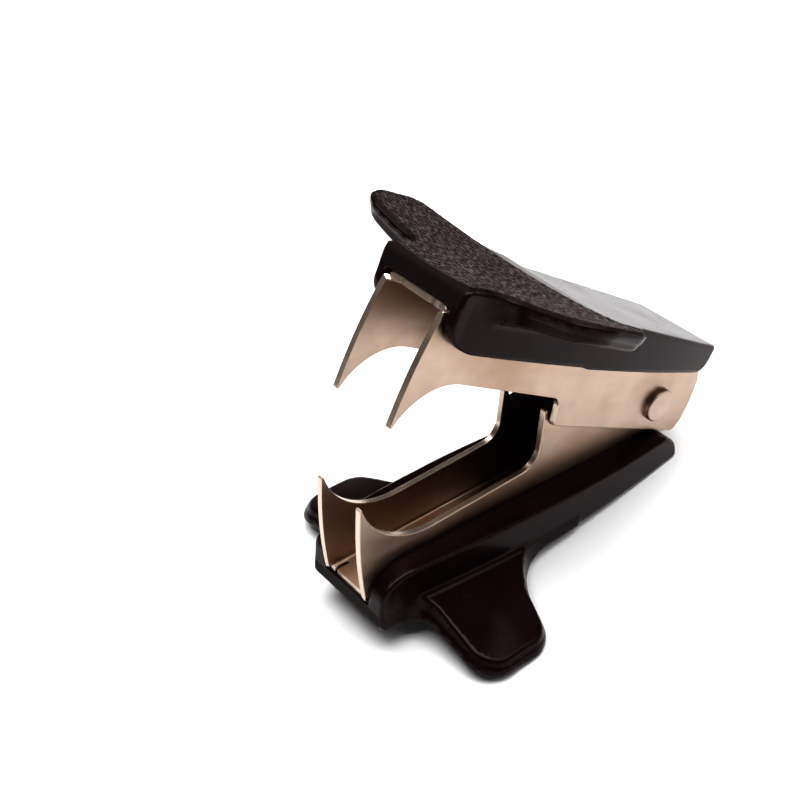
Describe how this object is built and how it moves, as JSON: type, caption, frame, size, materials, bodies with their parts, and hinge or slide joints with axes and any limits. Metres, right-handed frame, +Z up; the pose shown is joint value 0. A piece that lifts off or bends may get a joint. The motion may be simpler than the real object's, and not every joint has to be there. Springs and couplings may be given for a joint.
{
  "type": "staple remover",
  "caption": "Jaw-type staple remover: sheet-steel jaws with curved fangs on a sprung pivot, each covered by a dark moulded grip with a winged, grained finger pad.",
  "frame": {"origin": "middle of the footprint, on the table that the remover lies on, in the middle plane between its side plates", "axes": "+X from the pivot towards the fangs, +Y along the pivot pin, +Z up away from the table; the lower jaw lies on its wing tips and the rear edge of its stem"},
  "size_m": [0.0643, 0.043, 0.0504],
  "materials": {
    "jaw_steel": "satin warm nickel plate",
    "pin_steel": "bright nickel plate",
    "spring_steel": "drawn wire",
    "grip_plastic": "satin stems, pebble-grained pads"
  },
  "bodies": {
    "lower_jaw": {"inner_jaw": "jaw_steel", "lower_grip": "grip_plastic", "torsion_spring": "spring_steel"},
    "upper_jaw": {"outer_jaw": "jaw_steel", "upper_grip": "grip_plastic", "pivot_pin": "pin_steel"}
  },
  "joints": [
    {"name": "jaw_pivot", "type": "hinge", "parent": "lower_jaw", "child": "upper_jaw", "pos_m": [-0.02161, 0, 0.01126], "axis": [0, 1, 0], "range_deg": [0, 26.5], "stiffness_Nm_per_rad": 0.5, "springref_deg": -22.92, "deforming": ["torsion_spring"]}
  ]
}
